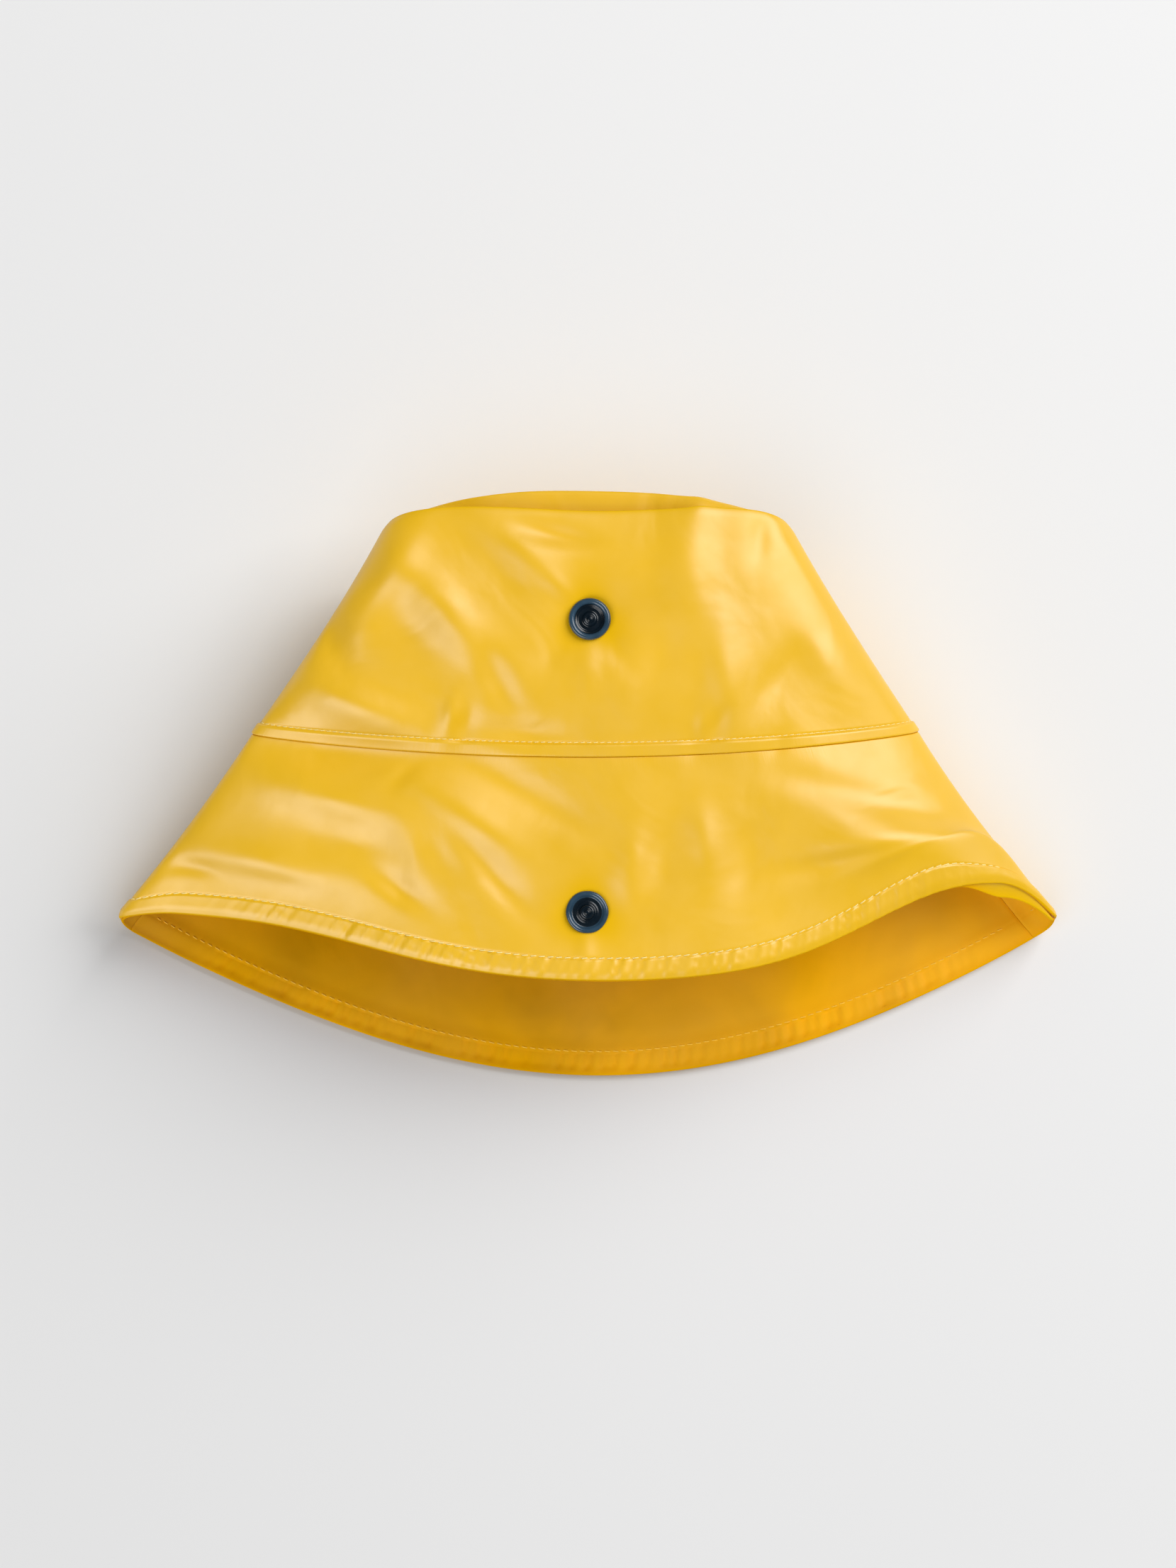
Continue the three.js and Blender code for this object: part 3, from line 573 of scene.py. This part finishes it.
def tubes(paths, up, radius, sides=6):
    """Threads round many paths at once: at each point a ring in the plane of the sideways and the upward
    direction, with both ends closed."""
    tangent = np.gradient(paths, axis=1)
    side = unit(np.cross(tangent, up))
    rise = unit(np.cross(side, tangent))
    angle = np.linspace(2 * math.pi, 0, sides, endpoint=False)[:, None]
    ring = side[:, :, None] * np.cos(angle) + rise[:, :, None] * np.sin(angle)
    points = paths[:, :, None] + ring * np.asarray(radius)[None, :, None, None]
    count, rings = paths.shape[:2]
    index = np.arange(count * rings * sides).reshape(count, rings, sides)
    quads = grid_quads(np.concatenate([index, index[:, :, :1]], 2))
    return points.reshape(-1, 3), [quads, index[:, 0, ::-1], index[:, -1]]


def stitch_row(lines, from_edge, edges, thread, side, bare=None):
    """Paths of one row of stitches, none close to the seams: short bridges along a line of the cloth, each a
    little slanted, whose ends dive into it by a fourth power. The side is 1 on the outer face, -1 inside."""
    length = LENGTHS[lines]
    share = 1 - from_edge / length
    close = len(NEAR_SEAM) + 1
    middle = even_turns(lines, share, edges, thread.pitch)[0][close:-close]
    if bare:
        degrees = np.degrees(middle)
        middle = middle[(degrees < bare[0]) | (degrees > bare[1])]
    t = np.linspace(-1, 1, 7)
    slant = math.radians(thread.slant)
    pace = np.linalg.norm(outer_points(lines, middle + STEP, share + 0 * middle)
                          - outer_points(lines, middle - STEP, share + 0 * middle), axis=-1) / (2 * STEP)
    half = thread.length / 2
    turn = middle[:, None] + t * half * math.cos(slant) / pace[:, None]
    shares = share + t * half * math.sin(slant) / length + 0 * turn
    dive = t ** 4 * thread.thick * DIVE.depth
    depth = thread.outside + dive if side > 0 else CLOTH + hem_ply(from_edge) + thread.inside - dive
    paths = layer_points(lines, turn, shares, depth + 0 * turn)
    radius = thread.thick / 2 * (1 - DIVE.thinner * t ** 6)
    return side, paths, outward(lines, turn, shares) * side, radius


def stitches(name, rows, material):
    """Several rows of stitches joined into one piece, marked by the side of the cloth that they lie on."""
    points, faces, inside, count = [], [], [], 0
    for side, paths, up, radius in rows:
        some_points, some_faces = tubes(paths, up, radius)
        points.append(some_points)
        faces += [part + count for part in some_faces]
        inside.append(np.full(len(some_points), float(side < 0)))
        count += len(some_points)
    return new_piece(name, np.concatenate(points), faces, material,
                     marks=dict(inside=np.concatenate(inside)))


def cut_corners(profile):
    """Rounds a profile: each corner gives way to two points a quarter along its two edges, twice over."""
    for _ in range(2):
        first, second = profile[:-1], profile[1:]
        cut = np.stack([0.75 * first + 0.25 * second, 0.25 * first + 0.75 * second], 1).reshape(-1, 2)
        profile = np.concatenate([profile[:1], cut, profile[-1:]])
    return profile


def snap_place(lines, spot):
    """The spot on the outer face with that X on that line, as a point and the turn from +Z to the normal."""
    fine = np.radians(np.linspace(120, 60, 4001))
    share = np.full(fine.shape, spot.share)
    turn = np.interp(spot.x, outer_points(lines, fine, share)[:, 0], fine)
    one = np.array([spot.share])
    point = outer_points(lines, np.array([turn]), one)[0]
    normal = Vector(outward(lines, np.array([turn]), one)[0])
    return point, np.array(Vector((0, 0, 1)).rotation_difference(normal).to_matrix())


def turned_piece(node, profile, place, material, lobes=0, sides=72):
    """A turned piece: a profile of radius and height carried round the snap's own axis, from the middle of
    its top out and down to the middle of its underside, with a ripple of so many lobes on its rim."""
    outline = cut_corners(np.array(profile, float))
    angle = np.linspace(2 * math.pi, 0, sides, endpoint=False)
    radius, height = outline[:, :1], outline[:, 1:]
    widest = outline[:, 0].max()
    rim = smooth((radius - RIPPLE.start * widest) / (RIPPLE.over * widest)) * (lobes > 0)
    radius = radius * (1 + RIPPLE.height * np.cos(lobes * angle) * rim)
    local = np.stack([radius * np.cos(angle), radius * np.sin(angle), height + 0 * angle], -1)
    point, rotation = place
    points = local.reshape(-1, 3) @ rotation.T + point
    index = np.arange(local.shape[0] * sides).reshape(-1, sides)
    faces = [grid_quads(np.hstack([index, index[:, :1]])), index[:1, ::-1], index[-1:]]
    # Painted shade: 1 in the recess inside the disc's rim, where the material darkens the plastic
    recess_shade = np.repeat(smooth((RECESS_SHADE.radius - outline[:, 0]) / RECESS_SHADE.edge), sides)
    return new_piece(node + "_disc", points, faces, material, (node,), marks=dict(recess_shade=recess_shade))


class Finish:
    """A material under construction: adds nodes, sets their inputs and joins them."""

    def __init__(self, name):
        self.material = bpy.data.materials.new(name)
        self.material.use_nodes = True
        self.tree = self.material.node_tree
        self.shader = self.tree.nodes["Principled BSDF"]
        self.place = self.node("ShaderNodeTexCoord").outputs["Object"]

    def node(self, kind, values=None, **settings):
        """A node with its settings and its input values; a socket as a value is joined to that input."""
        made = self.tree.nodes.new(kind)
        for key, value in settings.items():
            setattr(made, key, value)
        self.set(made, values or {})
        return made

    def set(self, node, values):
        """Sets inputs by name or number, joining them where the value is another node's socket."""
        for key, value in values.items():
            if isinstance(value, bpy.types.NodeSocket):
                self.tree.links.new(value, node.inputs[key])
            else:
                node.inputs[key].default_value = value

    def attribute(self, name):
        """The value that a piece's points are marked with, as a socket."""
        return self.node("ShaderNodeAttribute", attribute_name=name).outputs["Fac"]

    def math(self, operation, *values):
        """The result of arithmetic on values and sockets."""
        return self.node("ShaderNodeMath", dict(enumerate(values)), operation=operation).outputs[0]

    def noise(self, scale, detail=2.0, distortion=0.0, vector=None):
        """A noise pattern as its factor socket, over the object's own place unless told otherwise."""
        made = self.node("ShaderNodeTexNoise", {
            "Vector": vector or self.place, "Scale": scale, "Detail": detail, "Distortion": distortion})
        return made.outputs["Fac"]

    def between(self, value, low, high, start=0, end=1):
        """A value carried from one range to another."""
        made = self.node("ShaderNodeMapRange", {
            "Value": value, "From Min": start, "From Max": end, "To Min": low, "To Max": high})
        return made.outputs["Result"]

    def ranged(self, value, low, high):
        """A noise factor spread over a range."""
        return self.between(value, low, high, 0.3, 0.7)

    def mixed(self, factor, first, second):
        """Two colours mixed by a factor."""
        values = {"Factor": factor, 6: (*first, 1), 7: (*second, 1)}
        return self.node("ShaderNodeMix", values, data_type="RGBA").outputs[2]

    def toned(self, colour, value):
        """A colour made lighter or darker."""
        return self.node("ShaderNodeHueSaturation", {"Color": colour, "Value": value}).outputs["Color"]

    def bump(self, height, distance, strength, below=None):
        """A bump of a height pattern over another bump."""
        values = {"Height": height, "Distance": distance, "Strength": strength}
        if below is not None:
            values["Normal"] = below
        return self.node("ShaderNodeBump", values).outputs["Normal"]


def cloth_finish(settings):
    """Coated cloth: smooth and satin outside, duller and deeper inside, with slightly uneven colour and
    gloss, a fine grain, soft crinkles, thread ribs by the band, and painted shade, darker and without
    reflection, where the pieces mark it."""
    finish = Finish("rubbery_cloth")
    inside, ribs, painted_shade = (finish.attribute(name) for name in ("inside", "ribs", "painted_shade"))
    tone = finish.ranged(finish.noise(28, 3), 0.96, 1.03)
    rubbed = finish.ranged(finish.noise(17, 3, 0.6), -0.16, 0.16)
    patches = finish.math("MULTIPLY_ADD", rubbed, inside, tone)
    # Painted shade: the colour is darker where the pieces mark it, and its reflection is taken away there
    # below
    value = finish.math("MULTIPLY", patches, finish.between(painted_shade, 1.0, 0.92))
    sheen = finish.ranged(finish.noise(13, 2, 0.4), 0.0, 0.45)
    shine = finish.between(painted_shade, finish.between(inside, settings.specular, sheen), 0.02)
    dull = finish.math("MULTIPLY", inside, 0.3)
    gloss = finish.ranged(finish.noise(70, 4), settings.roughness - 0.05, settings.roughness + 0.06)
    slack = finish.bump(finish.noise(26, 2.5, 0.8), 0.0022, 0.5)
    crinkle = finish.bump(finish.noise(230, 4, 0.4), 0.00010, 0.30, slack)
    grain = finish.bump(finish.noise(2600, 2), 0.00003, 0.25, crinkle)
    uv = finish.node("ShaderNodeUVMap", uv_map="cloth").outputs["UV"]
    stretched = finish.node("ShaderNodeMapping", {"Vector": uv, "Scale": (1500, 110, 1)}).outputs["Vector"]
    rib = finish.math("MULTIPLY", finish.noise(1, 1, vector=stretched), ribs)
    finish.set(finish.shader, {
        "Base Color": finish.toned(finish.mixed(inside, settings.outer_color, settings.inner_color), value),
        "Roughness": finish.math("ADD", gloss, dull), "Normal": finish.bump(rib, 0.00008, 0.5, grain),
        "Specular IOR Level": shine})
    return finish.material


def thread_finish(settings):
    """Spun thread: lighter than the cloth, dull, with fine uneven strands."""
    finish = Finish("sewing_thread")
    strand = finish.noise(4200, 3)
    two_threads = finish.mixed(finish.attribute("inside"), settings.thread_color, settings.bobbin_color)
    finish.set(finish.shader, {
        "Base Color": finish.toned(two_threads, finish.ranged(strand, 0.8, 1.1)),
        "Roughness": finish.ranged(strand, 0.55, 0.7), "Normal": finish.bump(strand, 0.00005, 0.5)})
    return finish.material


def snap_finish(settings):
    """Moulded plastic: dark blue-grey, with painted shade that makes its recess nearly black, faint flow
    marks, fine scuffs in its gloss and a soft moulded skin."""
    finish = Finish("dark_plastic")
    # Painted shade: the plastic falls to a sixth of its value in the marked recess
    shaded = finish.between(finish.attribute("recess_shade"), 1.0, 0.16)
    value = finish.math("MULTIPLY", finish.ranged(finish.noise(260, 3), 0.85, 1.2), shaded)
    finish.set(finish.shader, {
        "Base Color": finish.toned((*settings.plastic_color, 1), value),
        "Roughness": finish.ranged(finish.noise(900, 4), 0.17, 0.25),
        "Normal": finish.bump(finish.noise(500, 2), 0.00002, 0.2), "Specular IOR Level": 0.7})
    return finish.material


def floor_finish(settings):
    """Matt pale card with a barely uneven tone."""
    finish = Finish("pale_floor")
    tone = finish.ranged(finish.noise(3, 2), 0.995, 1.005)
    finish.set(finish.shader, {
        "Base Color": finish.toned((*settings.floor_color, 1), tone), "Roughness": 0.95,
        "Specular IOR Level": 0.0})
    return finish.material


def shared_material(name, make, settings):
    """A finish made once and then shared by name."""
    return bpy.data.materials.get(name) or make(settings)


def soft_lamp(name, floor, amount, link, turn, rise, distance, width, height):
    """A rectangular lamp that faces the hat. In the sky's unit a level face gets its power times the sine of
    its rise over the square of pi times the distance, so the power follows from the amount."""
    lamp = bpy.data.lights.new(name, "AREA")
    lamp.shape = "RECTANGLE"
    lamp.size, lamp.size_y = width, height
    turn, rise = math.radians(turn), math.radians(rise)
    lamp.energy = amount * math.pi ** 2 * distance ** 2 / math.sin(rise)
    towards = Vector((math.cos(rise) * math.cos(turn), math.cos(rise) * math.sin(turn), math.sin(rise)))
    made = bpy.data.objects.new(name, lamp)
    made.location = towards * distance
    made.rotation_euler = towards.to_track_quat("Z", "Y").to_euler()
    bpy.context.scene.collection.objects.link(made)
    receivers = bpy.data.collections.new(name)
    made.light_linking.receiver_collection = receivers
    receivers.objects.link(floor)
    receivers.collection_objects[0].light_linking.link_state = link


def color_property(name, description, default):
    """A colour that the user can change."""
    return bpy.props.FloatVectorProperty(
        name=name, description=description, subtype="COLOR", min=0, max=1, default=default)


def light_property(name, description, default):
    """A strength of light that the user can change."""
    return bpy.props.FloatProperty(name=name, description=description, min=0, max=5, default=default)


class RainHatSettings(bpy.types.PropertyGroup):
    """Colours and finishes of the hat."""
    outer_color: color_property("Outside", "Colour of the coated outer face", (0.87, 0.50, 0.002))
    inner_color: color_property("Inside", "Colour of the inner face", (0.80, 0.39, 0.0))
    thread_color: color_property("Thread outside", "Colour of the needle thread", (1.0, 0.82, 0.30))
    bobbin_color: color_property("Thread inside", "Colour of the bobbin thread", (1.0, 0.60, 0.04))
    plastic_color: color_property("Snaps", "Colour of the snap plastic", (0.027, 0.060, 0.096))
    roughness: bpy.props.FloatProperty(
        name="Roughness", description="Middle roughness of the coated face", subtype="FACTOR", min=0, max=1,
        default=0.40)
    specular: bpy.props.FloatProperty(
        name="Specular", description="Strength of the coated face's reflection", subtype="FACTOR",
        min=0, max=1, default=1.0)
    pitch: bpy.props.FloatProperty(
        name="Column spacing", description="Distance between two columns of points", unit="LENGTH",
        min=0.5 * MM, max=5 * MM, default=1.3 * MM)


class RainHatStageSettings(bpy.types.PropertyGroup):
    """Camera, floor and light, with what the lamps give in the sky's unit."""
    camera_height: bpy.props.FloatProperty(
        name="Camera height", description="Distance of the camera above the table", unit="LENGTH",
        min=0.5, max=5, default=1.6)
    view_height: bpy.props.FloatProperty(
        name="View height", description="Length of table that the tall side of the picture takes in",
        unit="LENGTH", min=0.1, max=3, default=PICTURE_ROWS * TABLE_PER_ROW * MM)
    floor_size: bpy.props.FloatProperty(
        name="Floor", description="Side of the floor", unit="LENGTH", min=1, max=20, default=12)
    floor_color: color_property("Floor colour", "Colour of the floor", (0.86, 0.86, 0.86))
    sky: light_property("Sky", "Strength of the even light from all round", 0.235)
    key: light_property("Key light", "What the large lamp gives the hat", 0.64)
    fill: light_property("Fill light", "What the lamp across gives the hat", 0.36)
    floor_key: light_property("Floor key light", "What the low lamp gives the floor", 0.66)
    floor_fill: light_property("Floor fill light", "What the high lamp gives the floor", 0.25)


def front_and_back(name, lines, profile, settings, closer=1):
    """The front and back panel of the crown or brim, the front with columns so much closer."""
    cloth = shared_material("rubbery_cloth", cloth_finish, settings)
    pitch = settings.pitch / MM
    cloth_panel(name + "_front", lines, profile, FRONT, closer * pitch, cloth)
    cloth_panel(name + "_back", lines, profile, BACK, pitch, cloth)


class RAINHAT_OT_crown(bpy.types.Operator):
    """Make the front and the back of the crown, with the band over the brim seam"""
    bl_idname = "rain_hat.crown"
    bl_label = "Crown"
    bl_options = {"REGISTER", "UNDO"}

    def execute(self, context):
        front_and_back("crown", CROWN, crown_rows, context.scene.rain_hat, closer=0.8)
        return {"FINISHED"}


class RAINHAT_OT_brim(bpy.types.Operator):
    """Make the front and the back of the brim, with the folded hem"""
    bl_idname = "rain_hat.brim"
    bl_label = "Brim"
    bl_options = {"REGISTER", "UNDO"}

    def execute(self, context):
        front_and_back("brim", BRIM, brim_rows, context.scene.rain_hat)
        return {"FINISHED"}


class RAINHAT_OT_tip(bpy.types.Operator):
    """Make the tip panel at the end of the crown"""
    bl_idname = "rain_hat.tip"
    bl_label = "Tip"
    bl_options = {"REGISTER", "UNDO"}

    def execute(self, context):
        tip_panel(shared_material("rubbery_cloth", cloth_finish, context.scene.rain_hat))
        return {"FINISHED"}


class RAINHAT_OT_stitches(bpy.types.Operator):
    """Make the stitches of the hem and of the band"""
    bl_idname = "rain_hat.stitches"
    bl_label = "Stitches"
    bl_options = {"REGISTER", "UNDO"}

    def execute(self, context):
        thread = shared_material("sewing_thread", thread_finish, context.scene.rain_hat)
        stitches("hem_stitches", [
            stitch_row(BRIM, HEM.stitch, FRONT, HEM_THREAD, 1, BARE_CORNER),
            stitch_row(BRIM, HEM.stitch, FRONT, HEM_THREAD, -1),
            stitch_row(BRIM, HEM.stitch, BACK, HEM_THREAD, -1)], thread)
        stitches("band_stitches", [stitch_row(CROWN, BAND.width, FRONT, BAND_THREAD, 1)], thread)
        return {"FINISHED"}


class RAINHAT_OT_snaps(bpy.types.Operator):
    """Make the two snaps with their caps inside the hat"""
    bl_idname = "rain_hat.snaps"
    bl_label = "Snaps"
    bl_options = {"REGISTER", "UNDO"}

    def execute(self, context):
        plastic = shared_material("dark_plastic", snap_finish, context.scene.rain_hat)
        crown, brim = snap_place(CROWN, CROWN_SNAP), snap_place(BRIM, BRIM_SNAP)
        turned_piece("crown_snap_socket", SOCKET_PROFILE, crown, plastic)
        turned_piece("crown_snap_cap", CAP_PROFILE, crown, plastic)
        turned_piece("brim_snap_stud", STUD_PROFILE, brim, plastic, lobes=6)
        turned_piece("brim_snap_cap", CAP_PROFILE, brim, plastic)
        return {"FINISHED"}


class RAINHAT_OT_stage(bpy.types.Operator):
    """Make the floor, the soft light and the camera straight above"""
    bl_idname = "rain_hat.stage"
    bl_label = "Stage"
    bl_options = {"REGISTER", "UNDO"}

    def execute(self, context):
        scene, stage = context.scene, context.scene.rain_hat_stage
        half = stage.floor_size / 2
        floor_mesh = bpy.data.meshes.new("floor")
        floor_mesh.from_pydata([(-half, -half, 0), (half, -half, 0), (half, half, 0), (-half, half, 0)], [],
                               [(0, 1, 2, 3)])
        floor_mesh.materials.append(shared_material("pale_floor", floor_finish, stage))
        floor = bpy.data.objects.new("floor", floor_mesh)
        scene.collection.objects.link(floor)

        scene.world = bpy.data.worlds.new("studio")
        scene.world.use_nodes = True
        background = scene.world.node_tree.nodes["Background"]
        background.inputs["Color"].default_value = (1, 1, 1, 1)
        background.inputs["Strength"].default_value = stage.sky
        scene.world.cycles_visibility.glossy = False  # the sky isn't mirrored

        for name, lamp in LAMPS.items():
            soft_lamp(name, floor, getattr(stage, name), **lamp)

        camera = bpy.data.objects.new("camera", bpy.data.cameras.new("camera"))
        camera.location = (0, 0, stage.camera_height)
        camera.data.lens = camera.data.sensor_width * stage.camera_height / stage.view_height
        scene.collection.objects.link(camera)
        scene.camera = camera
        scene.view_settings.view_transform = "Standard"
        scene.view_settings.look = "None"
        return {"FINISHED"}


class RAINHAT_PT_panel(bpy.types.Panel):
    """Lists the hat's pieces and its settings"""
    bl_idname = "RAINHAT_PT_panel"
    bl_label = "Rain hat"
    bl_space_type = "VIEW_3D"
    bl_region_type = "UI"
    bl_category = "Rain hat"

    def draw(self, context):
        for operator in OPERATORS:
            self.layout.operator(operator.bl_idname)
        for group in (context.scene.rain_hat, context.scene.rain_hat_stage):
            box = self.layout.box()
            for name in group.bl_rna.properties.keys():
                if name not in ("rna_type", "name"):
                    box.prop(group, name)


OPERATORS = (RAINHAT_OT_crown, RAINHAT_OT_brim, RAINHAT_OT_tip, RAINHAT_OT_stitches, RAINHAT_OT_snaps,
             RAINHAT_OT_stage)
CLASSES = (RainHatSettings, RainHatStageSettings, *OPERATORS, RAINHAT_PT_panel)


def register():
    for made in CLASSES:
        bpy.utils.register_class(made)
    bpy.types.Scene.rain_hat = bpy.props.PointerProperty(type=RainHatSettings)
    bpy.types.Scene.rain_hat_stage = bpy.props.PointerProperty(type=RainHatStageSettings)


def unregister():
    del bpy.types.Scene.rain_hat_stage
    del bpy.types.Scene.rain_hat
    for made in reversed(CLASSES):
        bpy.utils.unregister_class(made)


def main():
    """Makes every piece and the stage."""
    register()
    bpy.ops.rain_hat.crown()
    bpy.ops.rain_hat.brim()
    bpy.ops.rain_hat.tip()
    bpy.ops.rain_hat.stitches()
    bpy.ops.rain_hat.snaps()
    bpy.ops.rain_hat.stage()


if __name__ == "__main__":
    main()
